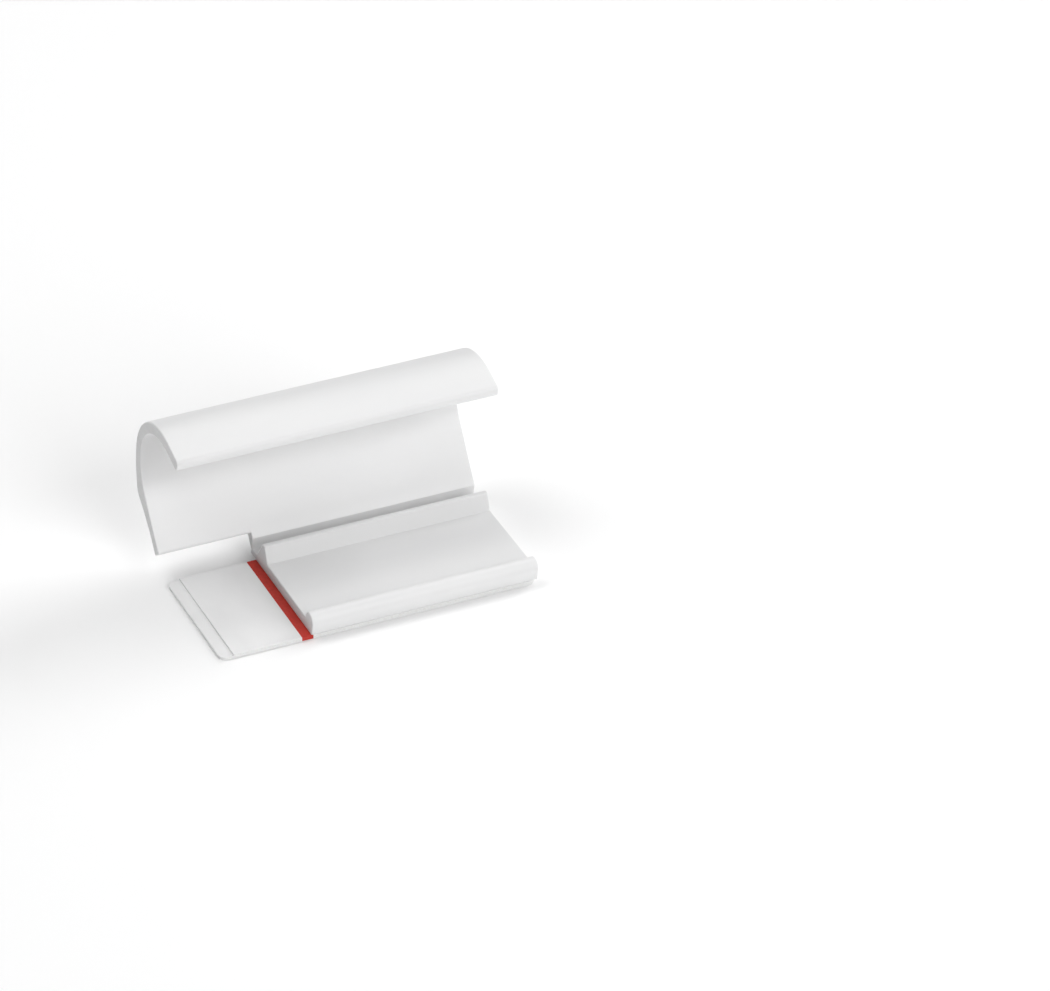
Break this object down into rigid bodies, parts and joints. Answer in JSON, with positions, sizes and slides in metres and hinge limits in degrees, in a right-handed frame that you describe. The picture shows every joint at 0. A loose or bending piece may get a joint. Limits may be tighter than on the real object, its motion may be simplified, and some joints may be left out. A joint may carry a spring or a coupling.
{
  "type": "adhesive cable clip",
  "caption": "Cable clip with a curved cover that swings down on a living hinge and snaps over a rounded front bead, over a flat base on a stretch-release adhesive strip.",
  "frame": {"origin": "middle of the adhesive strip's underside, on the surface that the clip sticks to", "axes": "+X along the cable, +Y from the snap side to the hinge side, +Z away from the mounting surface"},
  "size_m": [0.05, 0.0318, 0.0274],
  "materials": {
    "clip_plastic": "smooth satin white moulding",
    "strip_foam": "pale film over soft foam"
  },
  "bodies": {
    "base": {"clip_base": "clip_plastic", "adhesive_strip": "strip_foam"},
    "cover": {"clip_cover": "clip_plastic"}
  },
  "joints": [
    {"name": "cover_hinge", "type": "hinge", "parent": "base", "child": "cover", "pos_m": [0, 0.0122, 0.00195], "axis": [1, 0, 0], "range_deg": [0, 71]}
  ]
}
